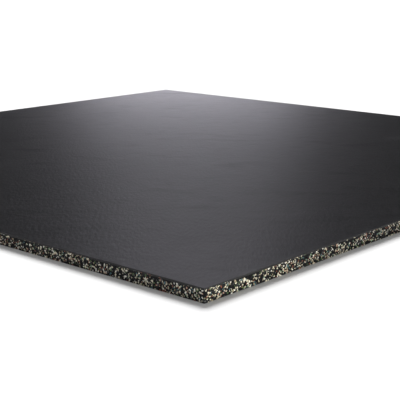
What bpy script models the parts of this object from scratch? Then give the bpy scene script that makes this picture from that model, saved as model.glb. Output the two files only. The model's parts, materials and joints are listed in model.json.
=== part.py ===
"""Floor protection mat: a thin smooth rubber wear layer on a thick base of bonded rubber granules.

A square tile, 1 m on a side and 14 mm thick, cut square on all four sides. It lies flat on the floor
and butts against like tiles. Run it with: blender --background --python part.py

Units are metres and +Z is up. The origin is the centre of the underside, so the mat rests on Z = 0.
"""

import bmesh
import bpy
from mathutils import Matrix

# Driving dimensions
MAT_SIDE = 1.0
MAT_THICKNESS = 0.014
WEAR_THICKNESS = 0.002
BOND_LINE = 0.0003
ARRIS_RADIUS = 0.0004
ARRIS_SEGMENTS = 4

# Heights that follow from them
BASE_HEIGHT = MAT_THICKNESS - WEAR_THICKNESS - BOND_LINE
WEAR_UNDERSIDE = MAT_THICKNESS - WEAR_THICKNESS

# Finishes: colour (linear RGB), roughness, metallic
CHARCOAL_RUBBER = ((0.050, 0.049, 0.054), 0.55, 0.0)
SPECKLED_GRANULATE = ((0.115, 0.110, 0.090), 0.80, 0.0)

COLLECTION_NAME = "floor_protection_mat"


def clear_scene():
    """Remove every object that the file opens with."""
    for old in list(bpy.data.objects):
        bpy.data.objects.remove(old, do_unlink=True)


def make_collection():
    """Return a new collection, linked to the scene, that holds the mat."""
    collection = bpy.data.collections.new(COLLECTION_NAME)
    bpy.context.scene.collection.children.link(collection)
    return collection


def make_material(name, finish):
    """Return a Principled material from a finish's colour, roughness and metallic value."""
    colour, roughness, metallic = finish
    material = bpy.data.materials.new(name)
    material.use_nodes = True
    shader = material.node_tree.nodes["Principled BSDF"]
    shader.inputs["Base Color"].default_value = (*colour, 1.0)
    shader.inputs["Roughness"].default_value = roughness
    shader.inputs["Metallic"].default_value = metallic
    return material


def make_slab(name, height, underside, material, collection):
    """Return a square slab of the mat's full side whose underside lies at the given height."""
    shape = bmesh.new()
    bmesh.ops.create_cube(shape, size=1.0, matrix=Matrix.Diagonal((MAT_SIDE, MAT_SIDE, height, 1.0)))
    mesh = bpy.data.meshes.new(name)
    shape.to_mesh(mesh)
    shape.free()
    slab = bpy.data.objects.new(name, mesh)
    slab.location.z = underside + height / 2.0
    slab.data.materials.append(material)
    collection.objects.link(slab)
    return slab


def round_top_arris(slab):
    """Round the four top edges of a slab, and leave its cut corners and its bottom edges sharp."""
    shape = bmesh.new()
    shape.from_mesh(slab.data)
    weights = shape.edges.layers.float.new("bevel_weight_edge")
    for edge in shape.edges:
        if all(vertex.co.z > 0.0 for vertex in edge.verts):
            edge[weights] = 1.0
    shape.to_mesh(slab.data)
    shape.free()
    slab.data.shade_smooth()
    bevel = slab.modifiers.new("top_arris", "BEVEL")
    bevel.limit_method = "WEIGHT"
    bevel.offset_type = "OFFSET"
    bevel.width = ARRIS_RADIUS
    bevel.segments = ARRIS_SEGMENTS
    bevel.harden_normals = True


def make_granulate_base(collection):
    """Make the thick layer of bonded granules, a sharp-edged slab on the floor."""
    material = make_material("speckled_granulate", SPECKLED_GRANULATE)
    make_slab("granulate_base", BASE_HEIGHT, 0.0, material, collection)


def make_wear_layer(collection):
    """Make the smooth rubber skin, bonded on the base with a film of adhesive in between."""
    material = make_material("charcoal_rubber", CHARCOAL_RUBBER)
    wear_layer = make_slab("wear_layer", WEAR_THICKNESS, WEAR_UNDERSIDE, material, collection)
    round_top_arris(wear_layer)


def main():
    """Build the mat from its two bonded layers."""
    clear_scene()
    collection = make_collection()
    make_granulate_base(collection)
    make_wear_layer(collection)


main()
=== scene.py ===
"""Dress and light a floor protection mat: a smooth rubber wear layer on a base of bonded rubber granules.

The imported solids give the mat's sizes. The wear layer becomes a gently uneven sheet with a rounded arris,
each cut side of the base becomes a slice through thousands of granules, and the underside is pressed
granulate.
"""

from __future__ import annotations

import json
import logging
import math
from dataclasses import dataclass, replace
from enum import Enum
from typing import Union

import bmesh
import bpy
import numpy as np
from mathutils import Euler, Matrix, Vector, geometry, noise

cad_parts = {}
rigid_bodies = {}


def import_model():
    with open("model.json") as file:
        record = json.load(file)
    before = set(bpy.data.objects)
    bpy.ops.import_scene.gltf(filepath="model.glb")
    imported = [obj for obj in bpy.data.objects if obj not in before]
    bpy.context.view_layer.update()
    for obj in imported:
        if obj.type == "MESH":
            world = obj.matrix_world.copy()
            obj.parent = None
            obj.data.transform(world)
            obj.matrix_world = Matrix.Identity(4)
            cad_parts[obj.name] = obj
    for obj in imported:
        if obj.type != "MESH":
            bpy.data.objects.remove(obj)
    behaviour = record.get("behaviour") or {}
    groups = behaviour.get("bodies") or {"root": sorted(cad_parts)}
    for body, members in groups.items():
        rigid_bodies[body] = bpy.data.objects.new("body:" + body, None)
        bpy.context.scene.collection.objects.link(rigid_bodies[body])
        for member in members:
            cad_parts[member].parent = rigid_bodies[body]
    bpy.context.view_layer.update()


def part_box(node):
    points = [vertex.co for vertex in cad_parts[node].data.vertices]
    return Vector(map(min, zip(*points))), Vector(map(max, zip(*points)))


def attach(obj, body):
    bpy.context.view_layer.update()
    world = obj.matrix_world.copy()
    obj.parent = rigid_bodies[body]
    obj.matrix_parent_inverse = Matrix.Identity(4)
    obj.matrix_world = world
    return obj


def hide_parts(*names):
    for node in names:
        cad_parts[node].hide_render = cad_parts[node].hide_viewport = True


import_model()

BODY = "root"
FLOOR_NAME = "studio_floor"
MM = 0.001
QUARTER_TURN = math.pi / 2.0
SHARP_EDGE_ANGLE = math.radians(40.0)
ROLLING_TURN = math.radians(42.0)
NOISE_MIDDLE = 0.5

# The Mix node's sockets for colours, by number, because its socket names are not unique
MIX_FACTOR = 0
MIX_FIRST = 6
MIX_SECOND = 7
MIX_RESULT = 2

Triple = tuple[float, float, float]
Colour = Triple
Span = tuple[float, float]
Fade = tuple[Span, ...]
Number = Union["Signal", float]


class Granule(Enum):
    """What a granule was ground from: its colour in linear RGB, and its share of the mix."""

    TYRE_BLACK = ((0.009, 0.009, 0.010), 0.48)
    CHARCOAL = ((0.026, 0.026, 0.028), 0.14)
    SLATE = ((0.090, 0.093, 0.095), 0.07)
    CREAM = ((0.660, 0.618, 0.490), 0.100)
    CHALK = ((0.820, 0.805, 0.740), 0.045)
    SAND = ((0.360, 0.310, 0.225), 0.065)
    BRICK = ((0.220, 0.085, 0.060), 0.030)
    SALMON = ((0.500, 0.320, 0.250), 0.015)
    MOSS = ((0.100, 0.155, 0.075), 0.030)
    MINT = ((0.280, 0.380, 0.290), 0.015)
    TEAL = ((0.090, 0.180, 0.200), 0.010)

    @property
    def colour(self) -> Colour:
        """The granule's colour in linear RGB."""
        return self.value[0]

    @property
    def share(self) -> float:
        """The granule's share of the mix, where all the shares add up to one."""
        return self.value[1]


class Side(Enum):
    """The mat's four cut sides, as quarter turns from the one that faces -Y."""

    MINUS_Y = 0
    PLUS_X = 1
    PLUS_Y = 2
    MINUS_X = 3

    @property
    def turn(self) -> Matrix:
        """The rotation that carries the -Y side onto this one."""
        return Matrix.Rotation(self.value * QUARTER_TURN, 3, "Z")

    @property
    def piece_name(self) -> str:
        """The name of this side's piece."""
        return f"cut_edge_{self.name.lower()}"


class WearSurface(Enum):
    """The wear layer's two surfaces, as the numbers of their materials."""

    SMOOTH = 0
    KNIFE_CUT = 1


@dataclass(frozen=True)
class Clouds:
    """A cloudy pattern: how many clouds a metre holds, and how many finer layers lie over them.

    The clouds are longer along each axis by the three lengths, after the two level axes are turned by an
    angle in radians.
    """

    scale: float
    detail: float = 2.0
    lengths: Triple = (1.0, 1.0, 1.0)
    turn: float = 0.0


class Signal:
    """A number that a shader socket carries. Arithmetic on it adds Math nodes to the same material."""

    def __init__(self, bench: Bench, socket: bpy.types.NodeSocket) -> None:
        """Wrap a socket.

        Args:
            bench: The bench whose material the socket belongs to.
            socket: The output socket that carries the number.
        """
        self.bench = bench
        self.socket = socket

    def _math(self, operation: str, first: Number, second: Number) -> Signal:
        """Add one Math node.

        Args:
            operation: The Math node's operation.
            first: What goes into its first socket.
            second: What goes into its second socket.

        Returns:
            The node's result.
        """
        node = self.bench.add("ShaderNodeMath", {"operation": operation}, {0: first, 1: second})
        return Signal(self.bench, node.outputs[0])

    def __add__(self, other: Number) -> Signal:
        """Return this number plus another."""
        return self._math("ADD", self, other)

    def __radd__(self, other: float) -> Signal:
        """Return a plain number plus this one."""
        return self._math("ADD", other, self)

    def __sub__(self, other: Number) -> Signal:
        """Return this number minus another."""
        return self._math("SUBTRACT", self, other)

    def __rsub__(self, other: float) -> Signal:
        """Return a plain number minus this one."""
        return self._math("SUBTRACT", other, self)

    def __mul__(self, other: Number) -> Signal:
        """Return this number times another."""
        return self._math("MULTIPLY", self, other)

    def __rmul__(self, other: float) -> Signal:
        """Return a plain number times this one."""
        return self._math("MULTIPLY", other, self)


class Bench:
    """Where one material or sky is put together, node by node."""

    def __init__(self, tree: bpy.types.NodeTree) -> None:
        """Start on a node tree.

        Args:
            tree: The tree that gets the nodes.
        """
        self.tree = tree

    def plug(self, target: bpy.types.NodeSocket, value: object) -> None:
        """Link a signal or a socket to a target socket, or set the target's own value.

        Args:
            target: The input socket to feed.
            value: A signal, an output socket, or a plain value.
        """
        if isinstance(value, Signal):
            value = value.socket
        if isinstance(value, bpy.types.NodeSocket):
            self.tree.links.new(value, target)
        elif target.type == "RGBA":
            target.default_value = (*value, 1.0)
        else:
            target.default_value = value

    def add(
        self, kind: str, settings: dict[str, object] | None = None, sockets: dict | None = None
    ) -> bpy.types.Node:
        """Add a node of any type.

        Args:
            kind: The node's type.
            settings: The node's own settings, set first. "stops" gives a colour ramp's places and colours.
            sockets: The values or links of its input sockets, by name or number.

        Returns:
            The new node.
        """
        node = self.tree.nodes.new(kind)
        for setting, value in (settings or {}).items():
            if setting == "stops":
                self._set_stops(node.color_ramp, value)
            elif setting == "interpolation" and kind == "ShaderNodeValToRGB":
                node.color_ramp.interpolation = value
            else:
                setattr(node, setting, value)
        for socket, value in (sockets or {}).items():
            self.plug(node.inputs[socket], value)
        return node

    @staticmethod
    def _set_stops(ramp: bpy.types.ColorRamp, stops: list[tuple[float, Colour]]) -> None:
        """Give a colour ramp its stops.

        Args:
            ramp: The ramp to fill.
            stops: Each stop's place from 0 to 1 and its colour, in rising order.
        """
        while len(ramp.elements) < len(stops):
            ramp.elements.new(1.0)
        for element, (place, colour) in zip(ramp.elements, stops):
            element.position = place
            element.color = (*colour, 1.0)

    def place(self) -> bpy.types.NodeSocket:
        """Return the object's own coordinates, in metres."""
        return self.add("ShaderNodeTexCoord").outputs["Object"]

    def noise(self, clouds: Clouds) -> Signal:
        """Add a cloudy pattern over the object's own coordinates.

        Args:
            clouds: What the pattern is like.

        Returns:
            The pattern, from 0 to 1 and about 0.5 on average.
        """
        drawn_out = self.add(
            "ShaderNodeMapping",
            {"vector_type": "TEXTURE"},
            {"Vector": self.place(), "Rotation": (0.0, 0.0, clouds.turn), "Scale": clouds.lengths},
        )
        pattern = self.add(
            "ShaderNodeTexNoise",
            {"noise_dimensions": "3D"},
            {"Vector": drawn_out.outputs[0], "Scale": clouds.scale, "Detail": clouds.detail},
        )
        return Signal(self, pattern.outputs["Fac"])

    def ease(self, value: Signal, span: Span) -> Signal:
        """Add a smooth step, which is 0 where a value is under a span and 1 where it is over it.

        Args:
            value: The number to map.
            span: Where the step starts, and where it ends.

        Returns:
            The mapped number.
        """
        start, end = span
        node = self.add(
            "ShaderNodeMapRange",
            {"interpolation_type": "SMOOTHSTEP"},
            {"Value": value, "From Min": start, "From Max": end},
        )
        return Signal(self, node.outputs["Result"])

    def mix(self, factor: Number, first: object, second: object, blend: str = "MIX") -> bpy.types.NodeSocket:
        """Mix two colours.

        Args:
            factor: How much of the second colour there is, from 0 to 1.
            first: The first colour, plain or linked.
            second: The second colour, plain or linked.
            blend: The Mix node's way of blending.

        Returns:
            The mixed colour.
        """
        node = self.add(
            "ShaderNodeMix",
            {"data_type": "RGBA", "blend_type": blend, "clamp_factor": True},
            {MIX_FACTOR: factor, MIX_FIRST: first, MIX_SECOND: second},
        )
        return node.outputs[MIX_RESULT]


class MaterialBench(Bench):
    """Where one material is put together, round its Principled shader."""

    def __init__(self, name: str) -> None:
        """Start a material.

        Args:
            name: The material's name.
        """
        self.material = bpy.data.materials.new(name)
        self.material.use_nodes = True
        super().__init__(self.material.node_tree)
        self.shader = self.tree.nodes["Principled BSDF"]

    def dress(self, sockets: dict[str, object]) -> None:
        """Feed the shader's own sockets, by name."""
        for socket, value in sockets.items():
            self.plug(self.shader.inputs[socket], value)

    def bump(self, height: Signal, distance: float) -> None:
        """Feed the shader's normal from a height.

        Args:
            height: The relief, from 0 to 1.
            distance: How tall the relief is, in metres.
        """
        node = self.add("ShaderNodeBump", {}, {"Height": height, "Distance": distance})
        self.dress({"Normal": node.outputs["Normal"]})


def granule_stops() -> list[tuple[float, Colour]]:
    """Give each kind of granule its share of a colour ramp.

    Returns:
        The ramp's stops, each as its place from 0 to 1 and its colour.
    """
    stops = []
    reached = 0.0
    for kind in Granule:
        stops.append((reached, kind.colour))
        reached += kind.share
    return stops


def granule_cells(
    bench: Bench, in_a_metre: float, joint_edge: Span = (0.02, 0.14)
) -> tuple[bpy.types.NodeSocket, Signal]:
    """Add a pattern of granules side by side, for where they lie flush in a surface.

    Args:
        bench: The material that gets the pattern.
        in_a_metre: How many granules lie in a metre.
        joint_edge: Where a joint ends and where a granule starts, in parts of a granule from the joint's
            middle.

    Returns:
        Each granule's colour, and a number that is 0 in the joints between them and 1 inside them.
    """
    spread = {"Vector": bench.place(), "Scale": in_a_metre}
    cells = bench.add("ShaderNodeTexVoronoi", {"feature": "F1"}, spread)
    edges = bench.add("ShaderNodeTexVoronoi", {"feature": "DISTANCE_TO_EDGE"}, spread)
    draw = bench.add("ShaderNodeSeparateColor", {}, {0: cells.outputs["Color"]})
    ramp = {"interpolation": "CONSTANT", "stops": granule_stops()}
    tints = bench.add("ShaderNodeValToRGB", ramp, {0: draw.outputs[0]}).outputs["Color"]
    return tints, bench.ease(Signal(bench, edges.outputs["Distance"]), joint_edge)


@dataclass(frozen=True)
class CharcoalRubber:
    """Smooth vulcanised rubber: charcoal, with dull smudges and streaks, pale scuffs and a fine grain.

    Its tone is how far it is from the deep to the pale colour. Smudges and streaks take some tone away and
    make the rubber rougher. The grain, of pebbles and finer specks, changes the tone and the relief alike.
    """

    deep: Colour = (0.0060, 0.0059, 0.0065)
    pale: Colour = (0.0320, 0.0317, 0.0340)
    scuffed: Colour = (0.0720, 0.0710, 0.0750)
    middle_tone: float = 0.5
    roughness: float = 0.286
    specular: float = 0.5
    clouds: Clouds = Clouds(9.0, 4.0)
    cloud_tone: float = 0.25
    cloud_roughness: float = 0.014
    smudges: Clouds = Clouds(29.0, 3.0, (1.0, 2.4, 1.0), ROLLING_TURN)
    smudge_edge: Span = (0.56, 0.77)
    smudge_tone: float = 0.20
    smudge_roughness: float = 0.034
    streaks: Clouds = Clouds(110.0, 2.0, (1.0, 2.4, 1.0), ROLLING_TURN)
    streak_edge: Span = (0.42, 0.74)
    streak_tone: float = 0.10
    streak_roughness: float = 0.018
    scuffs: Clouds = Clouds(31.0, 4.0, (1.0, 2.0, 1.0), ROLLING_TURN)
    scuff_edge: Span = (0.55, 0.75)
    scuff_share: float = 0.20
    pebbles: Clouds = Clouds(300.0, 2.0, (2.6, 1.0, 1.0), ROLLING_TURN)
    pebble_roughness: float = 0.02
    pebble_share: float = 0.8
    specks: Clouds = Clouds(1300.0, 2.0, (2.6, 1.0, 1.0), ROLLING_TURN)
    grain_tone: float = 1.2
    grain_height: float = 0.36 * MM

    def make(self) -> bpy.types.Material:
        """Put the material together.

        Returns:
            The material.
        """
        bench = MaterialBench("charcoal_rubber")
        clouds = bench.noise(self.clouds) - NOISE_MIDDLE
        smudges = bench.ease(bench.noise(self.smudges), self.smudge_edge)
        streaks = bench.ease(bench.noise(self.streaks), self.streak_edge)
        scuffs = bench.ease(bench.noise(self.scuffs), self.scuff_edge)
        pebbles = bench.noise(self.pebbles) - NOISE_MIDDLE
        specks = bench.noise(self.specks) - NOISE_MIDDLE
        grain = pebbles * self.pebble_share + specks * (1.0 - self.pebble_share)
        marks = smudges * self.smudge_tone + streaks * self.streak_tone
        dullness = smudges * self.smudge_roughness + streaks * self.streak_roughness
        polish = clouds * self.cloud_roughness + pebbles * self.pebble_roughness
        tone = clouds * self.cloud_tone + grain * self.grain_tone - marks + self.middle_tone
        rubber = bench.mix(tone, self.deep, self.pale)
        bench.dress(
            {
                "Base Color": bench.mix(scuffs * self.scuff_share, rubber, self.scuffed),
                "Roughness": self.roughness + dullness + polish,
                "Specular IOR Level": self.specular,
            }
        )
        bench.bump(grain, self.grain_height)
        return bench.material


@dataclass(frozen=True)
class KnifeCutRubber:
    """The same rubber where a blade cut it: greyer and rougher, with upright drag lines.

    Some of the base's granules were pressed up over its lower border, and show there as specks.
    """

    lower_border: float

    deep: Colour = (0.0155, 0.0153, 0.0160)
    pale: Colour = (0.0310, 0.0306, 0.0316)
    roughness: float = 0.62
    roughness_swing: float = 0.2
    specular: float = 0.3
    drag_lines: Clouds = Clouds(700.0, 2.0, (1.0, 1.0, 8.0))
    drag_height: float = 0.04 * MM
    granules_in_a_metre: float = 620.0
    rises: Clouds = Clouds(18.0, 3.0)
    rise_start: float = 0.34
    highest_rise: float = 5.0 * MM
    rise_edge: Span = (0.0, 0.2 * MM)

    def make(self) -> bpy.types.Material:
        """Put the material together.

        Returns:
            The material.
        """
        bench = MaterialBench("knife_cut_rubber")
        drag = bench.noise(self.drag_lines)
        rubber = bench.mix(drag, self.deep, self.pale)
        height = Signal(bench, bench.add("ShaderNodeSeparateXYZ", {}, {0: bench.place()}).outputs["Z"])
        rise = (bench.noise(self.rises) - self.rise_start) * self.highest_rise
        pressed_up = bench.ease(rise - (height - self.lower_border), self.rise_edge)
        specks, joints = granule_cells(bench, self.granules_in_a_metre)
        bench.dress(
            {
                "Base Color": bench.mix(pressed_up * joints, rubber, specks),
                "Roughness": self.roughness + (drag - NOISE_MIDDLE) * self.roughness_swing,
                "Specular IOR Level": self.specular,
            }
        )
        bench.bump(drag, self.drag_height)
        return bench.material


@dataclass(frozen=True)
class SlicedGranules:
    """Granules cut through by a blade: each in its own colour, with black binder in the joints.

    Flecks make a granule's colour darker and lighter, from one factor to the other.
    """

    tint_layer: str = "granule_tint"
    bake_layer: str = "OFBake"
    flecks: Clouds = Clouds(1500.0, 3.0)
    darkest_fleck: Colour = (0.35, 0.34, 0.33)
    lightest_fleck: Colour = (1.6, 1.6, 1.6)
    fleck_depth: float = 0.45
    roughness: float = 0.68
    roughness_swing: float = 0.25
    specular: float = 0.2
    grain_height: float = 0.03 * MM

    def make(self) -> bpy.types.Material:
        """Put the material together.

        Returns:
            The material.
        """
        bench = MaterialBench("sliced_granules")
        tint = bench.add("ShaderNodeAttribute", {"attribute_name": self.tint_layer}).outputs["Color"]
        flecks = bench.noise(self.flecks)
        shading = bench.mix(flecks, self.darkest_fleck, self.lightest_fleck)
        bench.dress(
            {
                "Base Color": bench.mix(self.fleck_depth, tint, shading, "MULTIPLY"),
                "Roughness": self.roughness + (flecks - NOISE_MIDDLE) * self.roughness_swing,
                "Specular IOR Level": self.specular,
            }
        )
        bench.bump(flecks, self.grain_height)
        return bench.material


@dataclass(frozen=True)
class PressedGranules:
    """The moulded underside: granules pressed flat, side by side, in a skin of binder."""

    granules_in_a_metre: float = 430.0
    binder: Colour = (0.011, 0.011, 0.012)
    flecks: Clouds = Clouds(1500.0, 3.0)
    fleck_depth: float = 0.45
    fleck_relief: float = 0.3
    roughness: float = 0.72
    roughness_swing: float = 0.2
    joint_depth: float = 0.25 * MM

    def make(self) -> bpy.types.Material:
        """Put the material together.

        Returns:
            The material.
        """
        bench = MaterialBench("pressed_granules")
        tints, pressed = granule_cells(bench, self.granules_in_a_metre)
        flecks = bench.noise(self.flecks)
        shown = pressed * (1.0 - self.fleck_depth + flecks * self.fleck_depth)
        bench.dress(
            {
                "Base Color": bench.mix(shown, self.binder, tints),
                "Roughness": self.roughness + (flecks - NOISE_MIDDLE) * self.roughness_swing,
            }
        )
        bench.bump(pressed + flecks * self.fleck_relief, self.joint_depth)
        return bench.material


@dataclass(frozen=True)
class PaleFloor:
    """A plain white studio floor, a little lighter in places."""

    colour: Colour = (0.88, 0.88, 0.88)
    lighter: Colour = (0.9, 0.9, 0.9)
    lighter_share: float = 0.1
    sway: Clouds = Clouds(3.0)
    roughness: float = 0.9
    specular: float = 0.1

    def make(self) -> bpy.types.Material:
        """Put the material together.

        Returns:
            The material.
        """
        bench = MaterialBench("pale_floor")
        sway = bench.noise(self.sway)
        bench.dress(
            {
                "Base Color": bench.mix(sway * self.lighter_share, self.colour, self.lighter),
                "Roughness": self.roughness,
                "Specular IOR Level": self.specular,
            }
        )
        return bench.material


@dataclass(frozen=True)
class MatSizes:
    """The mat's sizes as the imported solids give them, in metres."""

    half_side: float
    wear_bottom: float
    wear_top: float
    bond_line: float = 0.03 * MM

    @classmethod
    def from_frame(cls) -> MatSizes:
        """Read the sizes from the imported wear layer."""
        low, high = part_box("wear_layer")
        return cls(high[0], low[2], high[2])

    @property
    def base_top(self) -> float:
        """The height of the dressed base, which ends a hair under the wear layer."""
        return self.wear_bottom - self.bond_line


def level_noise(point: Vector) -> float:
    """Return smooth noise from 0 to 1 at a point."""
    return 0.5 + 0.5 * noise.noise(point)


def sweep_rim(shape: bmesh.types.BMesh) -> tuple[list[bmesh.types.BMVert], list[bmesh.types.BMFace]]:
    """Add a ring of faces round a shape's open rim. Its new points lie on the old ones until they are moved.

    Args:
        shape: The shape, which is open.

    Returns:
        The new rim's points, and the ring's faces.
    """
    rim = [edge for edge in shape.edges if edge.is_boundary]
    swept = bmesh.ops.extrude_edge_only(shape, edges=rim)["geom"]
    points = [item for item in swept if isinstance(item, bmesh.types.BMVert)]
    faces = [item for item in swept if isinstance(item, bmesh.types.BMFace)]
    return points, faces


def close_rim(shape: bmesh.types.BMesh) -> bmesh.types.BMFace:
    """Close a shape's open rim with one flat face.

    Args:
        shape: The shape, which is open.

    Returns:
        The new face.
    """
    rim = [edge for edge in shape.edges if edge.is_boundary]
    return bmesh.ops.contextual_create(shape, geom=rim)["faces"][0]


def finish_piece(
    shape: bmesh.types.BMesh, name: str, materials: list[bpy.types.Material]
) -> bpy.types.Object:
    """Turn a finished bmesh into an object of the scene.

    Args:
        shape: The piece's shape, which is freed.
        name: The piece's name.
        materials: Its materials, in the order of its faces' material numbers.

    Returns:
        The new object.
    """
    mesh = bpy.data.meshes.new(name)
    shape.to_mesh(mesh)
    shape.free()
    for material in materials:
        mesh.materials.append(material)
    piece = bpy.data.objects.new(name, mesh)
    bpy.context.scene.collection.objects.link(piece)
    return piece


@dataclass
class WearLayer:
    """The smooth rubber skin on top: one sheet, gently uneven, with a rounded arris and knife-cut sides."""

    sizes: MatSizes
    squares: int = 190
    arris: float = 0.4 * MM
    arris_steps: int = 4
    rim: float = 0.6 * MM
    unevenness: float = 0.10 * MM
    wave_scale: float = 11.0
    ripple_scale: float = 38.0
    ripple_share: float = 0.35
    ripple_start: Triple = (7.0, 3.0, 1.0)
    slack: float = 0.004 * MM

    def build(self) -> bpy.types.Object:
        """Build the sheet, dress it and place it on the base.

        Returns:
            The wear layer's piece.
        """
        shape = bmesh.new()
        inner = self.sizes.half_side - self.arris
        bmesh.ops.create_grid(
            shape, x_segments=self.squares, y_segments=self.squares, size=inner - self.rim
        )
        for vertex in shape.verts:
            vertex.co.z = self.sizes.wear_top - self.sink(vertex.co)
        self.add_ring(shape, inner, 0.0)
        for step in range(1, self.arris_steps + 1):
            angle = step / self.arris_steps * QUARTER_TURN
            reach = inner + self.arris * math.sin(angle)
            self.add_ring(shape, reach, self.arris * (1.0 - math.cos(angle)))
        wall = self.sizes.wear_top - self.sizes.wear_bottom
        self.add_ring(shape, self.sizes.half_side, wall, WearSurface.KNIFE_CUT)
        close_rim(shape).material_index = WearSurface.KNIFE_CUT.value
        bmesh.ops.recalc_face_normals(shape, faces=shape.faces)
        knife_cut = KnifeCutRubber(self.sizes.wear_bottom)
        piece = finish_piece(shape, "wear_layer_sheet", [CharcoalRubber().make(), knife_cut.make()])
        piece.data.shade_smooth()
        piece.data.set_sharp_from_angle(angle=SHARP_EDGE_ANGLE)
        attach(piece, BODY)
        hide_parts("wear_layer")
        return piece

    def sink(self, point: Vector) -> float:
        """Work out how far the sheet dips below its highest level.

        Args:
            point: A point of the sheet.

        Returns:
            The dip at that point.
        """
        across = Vector((point.x, point.y, 0.0))
        wave = level_noise(across * self.wave_scale)
        ripple = level_noise(across * self.ripple_scale + Vector(self.ripple_start))
        return self.unevenness * ((1.0 - self.ripple_share) * wave + self.ripple_share * ripple)

    def add_ring(
        self,
        shape: bmesh.types.BMesh,
        reach: float,
        drop: float,
        surface: WearSurface = WearSurface.SMOOTH,
    ) -> None:
        """Sweep the sheet's rim outwards and down by one ring of faces.

        Args:
            shape: The sheet so far.
            reach: How far from the mat's centre the new rim lies.
            drop: How far below the sheet's top the new rim lies.
            surface: What the ring is part of. The smooth surface is uneven, and the knife's cut is not.
        """
        points, faces = sweep_rim(shape)
        limit = max(abs(point.co.x) for point in points)
        for point in points:
            for axis in (0, 1):
                if abs(point.co[axis]) > limit - self.slack:
                    point.co[axis] = math.copysign(reach, point.co[axis])
            dip = self.sink(point.co) if surface is WearSurface.SMOOTH else 0.0
            point.co.z = self.sizes.wear_top - drop - dip
        for face in faces:
            face.material_index = surface.value


@dataclass
class GranuleSeeds:
    """The middles of the granules that one cut side slices through, with what each granule is like.

    Distances run along the side from its middle, and up from the floor.
    """

    places: np.ndarray
    kinds: np.ndarray
    values: np.ndarray
    recesses: np.ndarray
    lost: np.ndarray

    def tint(self, owner: int) -> Colour:
        """Return one granule's colour, with its own lightness."""
        colour = list(Granule)[self.kinds[owner]].colour
        return tuple(channel * float(self.values[owner]) for channel in colour)

    def take(self, chosen: np.ndarray) -> GranuleSeeds:
        """Return only the chosen seeds."""
        return GranuleSeeds(*(values[chosen] for values in vars(self).values()))

    def mirrored(self) -> GranuleSeeds:
        """Return the seeds with left and right exchanged."""
        return replace(self, places=self.places * (-1.0, 1.0))

    def joined(self, other: GranuleSeeds) -> GranuleSeeds:
        """Return these seeds followed by other ones."""
        pairs = zip(vars(self).values(), vars(other).values())
        return GranuleSeeds(*(np.concatenate(pair) for pair in pairs))


@dataclass
class GranuleMix:
    """How the granules lie: their grading, and how unevenly a blade leaves them.

    They are scattered from a staggered grid. Its pitch is a granule's size along the side, and lead, lift,
    stagger, jitter and twin_reach are in parts of its cells. Merged ones leave their place to their
    neighbours, split ones share it with a twin, and lost ones were torn out. A tongue is where the wear
    layer's rubber was pressed down between the granules, and tongue_rest is how far it reaches on average.
    """

    half_side: float
    height: float
    seed: int = 128
    pitch: float = 1.47 * MM
    row_share: float = 0.87
    lead: float = 0.25
    lift: float = 0.25
    stagger: float = 0.5
    jitter: float = 0.40
    merged: float = 0.16
    split: float = 0.22
    twin_reach: float = 0.45
    margin: float = 0.08 * MM
    lightness: Span = (0.80, 1.20)
    deepest_recess: float = 0.26 * MM
    recess_power: float = 2.0
    lost_share: float = 0.05
    tongue: float = 2.2 * MM
    tongue_scale: float = 24.0
    tongue_starts: float = 100.0
    tongue_rest: float = 0.25
    corner_zone: float = 1.8 * MM

    def __post_init__(self) -> None:
        """Set up the random draws, which all four sides share."""
        self.random = np.random.default_rng(self.seed)

    def scatter(self) -> GranuleSeeds:
        """Scatter the granules of one side, some of them larger or smaller than the grid's cells.

        Returns:
            The side's seeds.
        """
        columns = round(2.0 * self.half_side / self.pitch)
        rows = round(self.height / (self.pitch * self.row_share))
        row, column = np.mgrid[0:rows, 0:columns]
        grid = np.stack((column + self.stagger * (row % 2), row), axis=-1).reshape(-1, 2) + self.lead
        grid = grid + self.random.uniform(-self.jitter, self.jitter, grid.shape) + (0.0, self.lift)
        cell = np.array((2.0 * self.half_side / columns, self.height / rows))
        places = grid * cell - (self.half_side, 0.0)
        places = places[self.random.random(len(places)) > self.merged]
        twins = places[self.random.random(len(places)) < self.split]
        twins = twins + self.random.uniform(-self.twin_reach, self.twin_reach, twins.shape) * cell
        places = np.concatenate((places, twins))
        away = np.abs(places - (0.0, self.height / 2.0))
        inside = away < (self.half_side - self.margin, self.height / 2.0 - self.margin)
        places = places[inside.all(axis=1)]
        count = len(places)
        shares = np.array([kind.share for kind in Granule])
        kinds = self.random.choice(len(shares), count, p=shares / shares.sum())
        kinds[self.under_tongue(places)] = list(Granule).index(Granule.TYRE_BLACK)
        return GranuleSeeds(
            places,
            kinds,
            self.random.uniform(*self.lightness, count),
            self.random.random(count) ** self.recess_power * self.deepest_recess,
            self.random.random(count) < self.lost_share,
        )

    def under_tongue(self, places: np.ndarray) -> np.ndarray:
        """Tell which places lie where the wear layer's rubber was pressed down between the granules.

        Args:
            places: The granules' middles.

        Returns:
            Whether each granule is drowned in that rubber.
        """
        start = float(self.random.uniform(0.0, self.tongue_starts))
        walk = [Vector((start + along * self.tongue_scale, 0.0, 0.0)) for along in places[:, 0]]
        waves = np.array([noise.noise(point) for point in walk]).clip(-self.tongue_rest, 1.0)
        return places[:, 1] > self.height - self.tongue * (self.tongue_rest + waves)

    def sides(self) -> list[GranuleSeeds]:
        """Scatter the granules of the four sides, and let each corner's granules show on both its sides.

        Returns:
            The seeds of each side in turn.
        """
        raw = [self.scatter() for _ in Side]
        start = -self.half_side + self.corner_zone
        end = self.half_side - self.corner_zone
        joined = []
        for index, seeds in enumerate(raw):
            before = raw[index - 1]
            corner = before.take(before.places[:, 0] > end).mirrored()
            joined.append(seeds.take(seeds.places[:, 0] >= start).joined(corner))
        return joined


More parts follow.
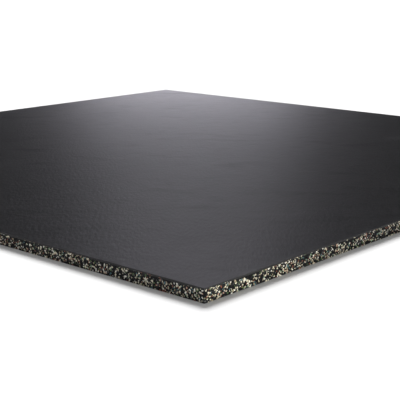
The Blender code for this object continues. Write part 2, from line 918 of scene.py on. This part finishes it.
@dataclass
class BakeMap:
    """The map on which a cut side's colours are baked: its length in rows, one above the other.

    All rows have one scale, and the margin lies on both sides of them. The faces behind the cut face are
    folded out next to it at a share of their depth, and the hidden back is squeezed into a thin line.
    """

    half_side: float
    height: float
    rows: int = 8
    margin: float = 0.025
    fold_share: float = 0.5
    back_width: float = 0.9
    back_height: float = 0.001

    def row_of(self, along: float) -> int:
        """Return the row that a place along the side falls in."""
        share = (along + self.half_side) / (2.0 * self.half_side)
        return min(max(int(share * self.rows), 0), self.rows - 1)

    def spot(self, row: int, along: float, up: float) -> tuple[float, float]:
        """Lay a point of the unrolled side on the map.

        Args:
            row: The row that the point's face is in.
            along: The point's distance along the side from its middle.
            up: Its height, which may run past the cut face onto the faces behind it.

        Returns:
            The point's place on the map, from 0 to 1 each way.
        """
        row_length = 2.0 * self.half_side / self.rows
        scale = (1.0 - 2.0 * self.margin) / row_length
        start = row * row_length - self.half_side
        middle = (row + 0.5) / self.rows
        return self.margin + (along - start) * scale, middle + (up - self.height / 2.0) * scale

    def back_spot(self, along: float, up: float) -> tuple[float, float]:
        """Lay a point of the hidden back on the map's free lowest line."""
        share = (along + self.half_side) / (2.0 * self.half_side)
        return 0.5 + (share - 0.5) * self.back_width, self.back_height * up / self.height


@dataclass
class CutEdge:
    """One cut side of the base: a slice of granules, each with its own outline, height and colour.

    It is built flat, with x along the side, y as the depth behind the cut face and z up. Then its ends are
    mitred to meet the neighbouring sides, and it is turned into its place. In the flush zone at each end no
    granule is sunk or lost, so that neighbouring sides meet in a sharp corner.
    """

    sizes: MatSizes
    side: Side
    seeds: GranuleSeeds
    finish: SlicedGranules
    depth: float = 2.0 * MM
    joint_depth: float = 0.42 * MM
    joint_share: float = 0.13
    joint_widths: Span = (0.5, 1.7)
    binder: Colour = (0.008, 0.008, 0.009)
    lost_depth: float = 1.1 * MM
    slope: float = 0.07
    crown: float = 0.04 * MM
    raggedness: float = 0.13
    kink_places: Span = (0.35, 0.65)
    shortest_ragged: float = 0.75 * MM
    flush_zone: float = 2.5 * MM
    mirror_band: float = 8.0 * MM
    weld: float = 0.03 * MM
    same_place: float = 1e-8

    def __post_init__(self) -> None:
        """Set up the side's own random draws and its bake map."""
        self.random = np.random.default_rng(self.side.value)
        self.bake_map = BakeMap(self.sizes.half_side, self.sizes.base_top)

    def build(self, material: bpy.types.Material) -> bpy.types.Object:
        """Build the slice, dress it and place it on its side of the base.

        Args:
            material: The granules' material, which all four sides share.

        Returns:
            The side's piece.
        """
        shape = bmesh.new()
        self.lay_cells(shape)
        self.ruffle_joints(shape)
        self.raise_granules(shape)
        self.close_back(shape)
        self.settle(shape)
        piece = finish_piece(shape, self.side.piece_name, [material])
        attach(piece, BODY)
        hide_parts("granulate_base")
        return piece

    def places_and_mirrors(self) -> np.ndarray:
        """Mirror the seeds near the face's border across it, which puts a straight joint there.

        Returns:
            The seeds' places, followed by the mirrored ones.
        """
        places = self.seeds.places
        half, top = self.sizes.half_side, self.sizes.base_top
        points = [places]
        for axis, border in ((0, -half), (0, half), (1, 0.0), (1, top)):
            near = places[np.abs(places[:, axis] - border) < self.mirror_band].copy()
            near[:, axis] = 2.0 * border - near[:, axis]
            points.append(near)
        return np.concatenate(points)

    @staticmethod
    def circle_centres(vertices: np.ndarray, triangles: np.ndarray) -> np.ndarray:
        """Work out the centre of the circle round each triangle.

        Args:
            vertices: The triangles' corners.
            triangles: The numbers of each triangle's three corners.

        Returns:
            The centres.
        """
        first, second, third = (vertices[triangles[:, corner]] for corner in range(3))
        to_second, to_third = second - first, third - first
        twice_area = to_second[:, 0] * to_third[:, 1] - to_second[:, 1] * to_third[:, 0]
        second_square, third_square = (to_second**2).sum(axis=1), (to_third**2).sum(axis=1)
        across = to_third[:, 1] * second_square - to_second[:, 1] * third_square
        upward = to_second[:, 0] * third_square - to_third[:, 0] * second_square
        return first + np.stack((across, upward), axis=1) / (2.0 * twice_area[:, None])

    def cell_corners(self) -> tuple[np.ndarray, list[list[int]]]:
        """Share the cut face out, so that each seed's cell holds what lies nearest to it.

        The corners are the centres of the circles round the seeds' Delaunay triangles.

        Returns:
            The cells' corners, and for each seed the numbers of its cell's corners, in order round it.
        """
        places = self.seeds.places
        points = [Vector(point) for point in self.places_and_mirrors()]
        found = geometry.delaunay_2d_cdt(points, [], [], 0, self.same_place)
        vertices = np.array([tuple(vertex) for vertex in found[0]])
        triangles = np.array(found[2])
        half, top = self.sizes.half_side, self.sizes.base_top
        corners = self.circle_centres(vertices, triangles).clip((-half, 0.0), (half, top))
        cells: list[list[int]] = [[] for _ in places]
        for number, triangle in enumerate(triangles):
            for vertex in triangle:
                for owner in found[3][vertex]:
                    if owner < len(places):
                        cells[owner].append(number)
        for owner, cell in enumerate(cells):
            away = corners[cell] - places[owner]
            cells[owner] = [cell[number] for number in np.argsort(np.arctan2(away[:, 1], away[:, 0]))]
        return corners, cells

    def lay_cells(self, shape: bmesh.types.BMesh) -> None:
        """Lay the cells out flat on the cut face, one face for each seed.

        Args:
            shape: An empty shape.
        """
        corners, cells = self.cell_corners()
        seed_mark = shape.faces.layers.int.new("seed")
        vertices: dict[int, bmesh.types.BMVert] = {}
        for owner, cell in enumerate(cells):
            for number in cell:
                if number not in vertices:
                    vertices[number] = shape.verts.new((corners[number][0], 0.0, corners[number][1]))
            shape.faces.new([vertices[number] for number in cell])[seed_mark] = owner
        bmesh.ops.remove_doubles(shape, verts=shape.verts, dist=self.weld)

    def ruffle_joints(self, shape: bmesh.types.BMesh) -> None:
        """Kink the longer joints between granules sideways, so that the granules look torn and not sawn.

        Args:
            shape: The flat cells.
        """
        for edge in list(shape.edges):
            length = edge.calc_length()
            if edge.is_boundary or length < self.shortest_ragged:
                continue
            along = (edge.verts[1].co - edge.verts[0].co).normalized()
            _, kink = bmesh.utils.edge_split(edge, edge.verts[0], self.random.uniform(*self.kink_places))
            shift = length * self.random.uniform(-self.raggedness, self.raggedness)
            kink.co += Vector((-along.z, 0.0, along.x)) * shift

    def raise_granules(self, shape: bmesh.types.BMesh) -> None:
        """Raise each cell into a granule with sloping flanks, and give it its colour and its bake map.

        Args:
            shape: The flat cells, which become the granules' skin.
        """
        seed_mark = shape.faces.layers.int["seed"]
        tint_layer = shape.verts.layers.float_color.new(self.finish.tint_layer)
        map_layer = shape.loops.layers.uv.new(self.finish.bake_layer)
        for vertex in shape.verts:
            vertex.co.y = self.joint_depth
            vertex[tint_layer] = (*self.binder, 1.0)
        for cell in list(shape.faces):
            owner = cell[seed_mark]
            outline = [loop.vert for loop in cell.loops]
            middle, ring = self.granule_top(shape, owner, outline)
            for vertex in (middle, *ring):
                vertex[tint_layer] = (*self.seeds.tint(owner), 1.0)
            row = self.bake_map.row_of(middle.co.x)
            shape.faces.remove(cell)
            for number, vertex in enumerate(ring):
                following = (number + 1) % len(ring)
                flank = shape.faces.new((outline[number], outline[following], ring[following], vertex))
                top = shape.faces.new((vertex, ring[following], middle))
                for face in (flank, top):
                    for loop in face.loops:
                        loop[map_layer].uv = self.bake_map.spot(row, loop.vert.co.x, loop.vert.co.z)

    def granule_top(
        self, shape: bmesh.types.BMesh, owner: int, outline: list[bmesh.types.BMVert]
    ) -> tuple[bmesh.types.BMVert, list[bmesh.types.BMVert]]:
        """Place the points of one granule's cut top.

        Args:
            shape: The shape that gets the points.
            owner: The granule's seed.
            outline: The cell's outline, at the foot of the joints.

        Returns:
            The middle of the top, and the ring round it with one point for each point of the outline.
        """
        half = self.sizes.half_side
        along, up = (float(value) for value in self.seeds.places[owner])
        flush = abs(along) > half - self.flush_zone
        if max(abs(vertex.co.x) for vertex in outline) > half - self.weld:
            along = math.copysign(half, along)
        if flush:
            recess, lean, rise = 0.0, 0.0, 0.0
        else:
            recess = self.lost_depth if self.seeds.lost[owner] else float(self.seeds.recesses[owner])
            lean, rise = (float(value) for value in self.random.uniform(-self.slope, self.slope, 2))
        keep = 1.0 - self.joint_share * float(self.random.uniform(*self.joint_widths))
        ring = []
        for vertex in outline:
            right, above = (vertex.co.x - along) * keep, (vertex.co.z - up) * keep
            depth = max(recess + lean * right + rise * above, 0.0)
            ring.append(shape.verts.new((along + right, depth, up + above)))
        crown = 0.0 if flush else float(self.random.uniform(-self.crown, self.crown))
        middle_depth = max(recess + crown, 0.0)
        return shape.verts.new((along, middle_depth, up)), ring

    def close_back(self, shape: bmesh.types.BMesh) -> None:
        """Sweep the slice's border back into the base and close it there with a flat face.

        Args:
            shape: The granules' skin, which becomes a closed solid.
        """
        map_layer = shape.loops.layers.uv[self.finish.bake_layer]
        tint_layer = shape.verts.layers.float_color[self.finish.tint_layer]
        points, faces = sweep_rim(shape)
        for point in points:
            point.co.y = self.depth
            point[tint_layer] = (*self.binder, 1.0)
        for face in faces:
            row = self.bake_map.row_of(face.calc_center_median().x)
            for loop in face.loops:
                loop[map_layer].uv = self.bake_map.spot(row, *self.unrolled(loop.vert.co, face))
        for loop in close_rim(shape).loops:
            loop[map_layer].uv = self.bake_map.back_spot(loop.vert.co.x, loop.vert.co.z)

    def unrolled(self, point: Vector, face: bmesh.types.BMFace) -> tuple[float, float]:
        """Fold a point of the faces behind the border out into the plane of the cut face.

        Args:
            point: The point, with y as its depth.
            face: The face that it is on.

        Returns:
            The point's distance along the side, and its height.
        """
        fold = point.y * self.bake_map.fold_share
        middle = face.calc_center_median()
        if abs(middle.x) > self.sizes.half_side - self.weld:
            return point.x + math.copysign(fold, middle.x), point.z
        return point.x, point.z + math.copysign(fold, middle.z - self.sizes.base_top / 2.0)

    def settle(self, shape: bmesh.types.BMesh) -> None:
        """Mitre the slice's ends and turn it into its place.

        Args:
            shape: The closed slice, with y as the depth.
        """
        half = self.sizes.half_side
        for vertex in shape.verts:
            along, depth, up = vertex.co
            reach = half - depth
            vertex.co = self.side.turn @ Vector((min(max(along, -reach), reach), depth - half, up))
        bmesh.ops.recalc_face_normals(shape, faces=shape.faces)


@dataclass
class GranulateCore:
    """The inside of the base, whose pressed underside lies on the floor, within the four cut sides."""

    sizes: MatSizes
    inset: float
    squares: int = 190
    unevenness: float = 0.12 * MM
    dimple_scale: float = 90.0

    def build(self) -> bpy.types.Object:
        """Build the core and dress it.

        Returns:
            The core's piece.
        """
        shape = bmesh.new()
        reach = self.sizes.half_side - self.inset
        bmesh.ops.create_grid(shape, x_segments=self.squares, y_segments=self.squares, size=reach)
        for vertex in shape.verts:
            if not vertex.is_boundary:
                vertex.co.z = self.unevenness * level_noise(vertex.co * self.dimple_scale)
        for point in sweep_rim(shape)[0]:
            point.co.z = self.sizes.base_top
        close_rim(shape)
        bmesh.ops.recalc_face_normals(shape, faces=shape.faces)
        piece = finish_piece(shape, "granulate_core", [PressedGranules().make()])
        piece.data.shade_smooth()
        piece.data.set_sharp_from_angle(angle=SHARP_EDGE_ANGLE)
        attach(piece, BODY)
        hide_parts("granulate_base")
        return piece


@dataclass(frozen=True)
class Softbox:
    """A lamp behind a diffuser: where it hangs, where it points, and which rays it gives light to.

    A fade tells how bright it is from its middle to its left and right ends, with each place and each
    brightness from 0 to 1.
    """

    name: str
    place: Triple
    aim: Triple
    width: float
    height: float
    radiance: float
    tint: Colour = (1.0, 1.0, 1.0)
    glossy: bool = True
    diffuse: bool = True
    fade: Fade = ()
    only_mat: bool = False

    def hang(self) -> None:
        """Add the lamp to the scene."""
        lamp = bpy.data.lights.new(self.name, "AREA")
        lamp.shape = "RECTANGLE"
        lamp.size = self.width
        lamp.size_y = self.height
        lamp.color = self.tint
        lamp.energy = math.pi * self.width * self.height * self.radiance
        if self.fade:
            self.grade(lamp)
        holder = bpy.data.objects.new(self.name, lamp)
        holder.location = self.place
        holder.rotation_euler = (Vector(self.aim) - Vector(self.place)).to_track_quat("-Z", "Y").to_euler()
        holder.visible_camera = False
        holder.visible_glossy = self.glossy
        holder.visible_diffuse = self.diffuse
        bpy.context.scene.collection.objects.link(holder)
        if self.only_mat:
            self.spare_floor(holder)

    def spare_floor(self, holder: bpy.types.Object) -> None:
        """Keep the lamp's light off the floor, so that it doesn't wash out the mat's shadow.

        Args:
            holder: The lamp's object.
        """
        lit = bpy.data.collections.new(f"{self.name}_lights")
        for piece in bpy.context.scene.objects:
            if piece.type == "MESH" and piece.name != FLOOR_NAME:
                lit.objects.link(piece)
        holder.light_linking.receiver_collection = lit

    def grade(self, lamp: bpy.types.AreaLight) -> None:
        """Make the lamp fade out towards its left and right ends.

        Args:
            lamp: The lamp to grade.
        """
        lamp.use_nodes = True
        bench = Bench(lamp.node_tree)
        middle = 0.5
        left = [(middle - away / 2.0, (share,) * 3) for away, share in reversed(self.fade)]
        right = [(middle + away / 2.0, (share,) * 3) for away, share in self.fade[1:]]
        spot = bench.add("ShaderNodeNewGeometry").outputs["Parametric"]
        across = bench.add("ShaderNodeSeparateXYZ", {}, {0: spot}).outputs[0]
        ramp = bench.add("ShaderNodeValToRGB", {"stops": left + right}, {0: across})
        bench.plug(lamp.node_tree.nodes["Emission"].inputs["Color"], ramp.outputs["Color"])


@dataclass
class Studio:
    """The white floor, the camera at the photograph's angle, and soft light that falls mostly from behind."""

    floor_reach: float = 30.0
    floor_drop: float = 0.1 * MM
    camera_place: Triple = (-1.13505, -1.06241, 0.29049)
    camera_yaw: float = math.radians(41.791)
    camera_pitch: float = math.radians(13.121)
    camera_lens: float = 92.28
    sun_elevation: float = math.radians(37.5)
    sun_turn: float = math.radians(2.5)
    sun_spread: float = math.radians(30.0)
    sun_strength: float = 4.85
    cool: Colour = (0.995, 0.965, 1.075)
    bluish: Colour = (0.99, 0.98, 1.04)
    warm: Colour = (1.0, 0.98, 0.88)
    mat_middle: Triple = (0.0, 0.0, 0.0)
    near_corner: Triple = (-0.5, -0.5, 0.0)
    backdrop: Colour = (1.0, 1.0, 1.0)
    fill: float = 0.335
    gloss_fill: float = 0.01
    low_fade: Fade = (
        (0.00, 1.00),
        (0.10, 0.97),
        (0.20, 0.88),
        (0.28, 0.70),
        (0.37, 0.43),
        (0.45, 0.23),
        (0.55, 0.12),
        (0.68, 0.04),
        (1.00, 0.00),
    )

    def build(self) -> None:
        """Set the whole studio up."""
        self.lay_floor()
        self.aim_camera()
        self.light_sky()
        self.light_sun()
        for softbox in (*self.mirrored_softboxes(), *self.grazing_softboxes()):
            softbox.hang()

    def mirrored_softboxes(self) -> list[Softbox]:
        """List the lamps that the walking surface mirrors: two beyond the mat, and a broad wing on each side.

        Returns:
            The softboxes.
        """
        return [
            Softbox(
                "softbox_low",
                self.beyond(0.2, 2.5, 2.2),
                self.mat_middle,
                width=2.30,
                height=0.18,
                radiance=4.90,
                tint=self.cool,
                diffuse=False,
                fade=self.low_fade,
            ),
            Softbox(
                "softbox_high",
                self.beyond(0.3, 36.0, 3.0),
                self.mat_middle,
                width=0.72,
                height=1.5,
                radiance=0.68,
                tint=self.cool,
                diffuse=False,
            ),
            Softbox(
                "softbox_wing_left",
                (-1.16, 1.26, 1.67),
                self.near_corner,
                width=2.0,
                height=1.2,
                radiance=1.02,
                tint=self.bluish,
                diffuse=False,
            ),
            Softbox(
                "softbox_wing_right",
                (1.41, -0.99, 1.54),
                self.near_corner,
                width=2.0,
                height=1.2,
                radiance=1.24,
                diffuse=False,
            ),
        ]

    def grazing_softboxes(self) -> list[Softbox]:
        """List the two slim lamps in front of the cut side at the right, at half the mat's height.

        Returns:
            The softboxes.
        """
        return [
            Softbox(
                "softbox_corner",
                (-0.48, -0.68, 0.007),
                (-0.48, -0.5, 0.007),
                width=0.05,
                height=0.01,
                radiance=146.0,
                tint=self.warm,
                glossy=False,
                only_mat=True,
            ),
            Softbox(
                "softbox_side",
                (-0.32, -0.88, 0.007),
                (-0.32, -0.5, 0.007),
                width=0.30,
                height=0.01,
                radiance=34.5,
                tint=self.warm,
                glossy=False,
                only_mat=True,
            ),
        ]

    def beyond(self, turn: float, elevation: float, reach: float) -> Triple:
        """Find a point on the far side of the mat, as the camera sees it.

        Args:
            turn: How far the point lies to the left of straight ahead, in degrees.
            elevation: How high it stands over the floor as seen from the mat's middle, in degrees.
            reach: How far it is from the mat's middle.

        Returns:
            The point.
        """
        bearing = self.camera_yaw + math.radians(turn)
        rise = math.radians(elevation)
        level = reach * math.cos(rise)
        return level * math.cos(bearing), level * math.sin(bearing), reach * math.sin(rise)

    def lay_floor(self) -> None:
        """Lay the floor, a hair under the mat."""
        shape = bmesh.new()
        bmesh.ops.create_grid(shape, x_segments=1, y_segments=1, size=self.floor_reach)
        floor = finish_piece(shape, FLOOR_NAME, [PaleFloor().make()])
        floor.location.z = -self.floor_drop

    def aim_camera(self) -> None:
        """Put the camera where the photograph was taken from."""
        lens = bpy.data.cameras.new("camera")
        lens.lens = self.camera_lens
        camera = bpy.data.objects.new("camera", lens)
        camera.location = self.camera_place
        camera.rotation_euler = Euler(
            (QUARTER_TURN - self.camera_pitch, 0.0, self.camera_yaw - QUARTER_TURN)
        )
        bpy.context.scene.collection.objects.link(camera)
        bpy.context.scene.camera = camera

    def light_sky(self) -> None:
        """Make the surroundings white to look at, and dim as a light."""
        world = bpy.data.worlds.new("studio_sky")
        world.use_nodes = True
        bench = Bench(world.node_tree)
        rays = bench.add("ShaderNodeLightPath")
        seen = Signal(bench, rays.outputs["Is Camera Ray"])
        glossy = Signal(bench, rays.outputs["Is Glossy Ray"])
        strength = seen + (1.0 - seen) * (glossy * self.gloss_fill + (1.0 - glossy) * self.fill)
        sky = world.node_tree.nodes["Background"]
        bench.plug(sky.inputs["Color"], self.backdrop)
        bench.plug(sky.inputs["Strength"], strength)
        bpy.context.scene.world = world
        bpy.context.scene.view_settings.view_transform = "Standard"

    def light_sun(self) -> None:
        """Light the floor from high behind the mat, with a broad soft lamp far away."""
        lamp = bpy.data.lights.new("lamp_behind", "SUN")
        lamp.energy = self.sun_strength
        lamp.angle = self.sun_spread
        holder = bpy.data.objects.new("lamp_behind", lamp)
        holder.rotation_euler = Euler(
            (QUARTER_TURN - self.sun_elevation, 0.0, self.camera_yaw + self.sun_turn + QUARTER_TURN)
        )
        holder.visible_glossy = False
        bpy.context.scene.collection.objects.link(holder)


def report(piece: bpy.types.Object) -> None:
    """Log a piece's name and how many triangles it has."""
    piece.data.calc_loop_triangles()
    logging.info("%s: %d triangles", piece.name, len(piece.data.loop_triangles))


def main() -> None:
    """Build the mat and its studio in order, and report each piece."""
    logging.basicConfig(level=logging.INFO, format="%(message)s")
    sizes = MatSizes.from_frame()
    report(WearLayer(sizes).build())
    finish = SlicedGranules()
    granules = finish.make()
    mix = GranuleMix(sizes.half_side, sizes.base_top)
    edges = [CutEdge(sizes, side, seeds, finish) for side, seeds in zip(Side, mix.sides())]
    for edge in edges:
        report(edge.build(granules))
    report(GranulateCore(sizes, edges[0].depth).build())
    Studio().build()


if __name__ == "__main__":
    main()
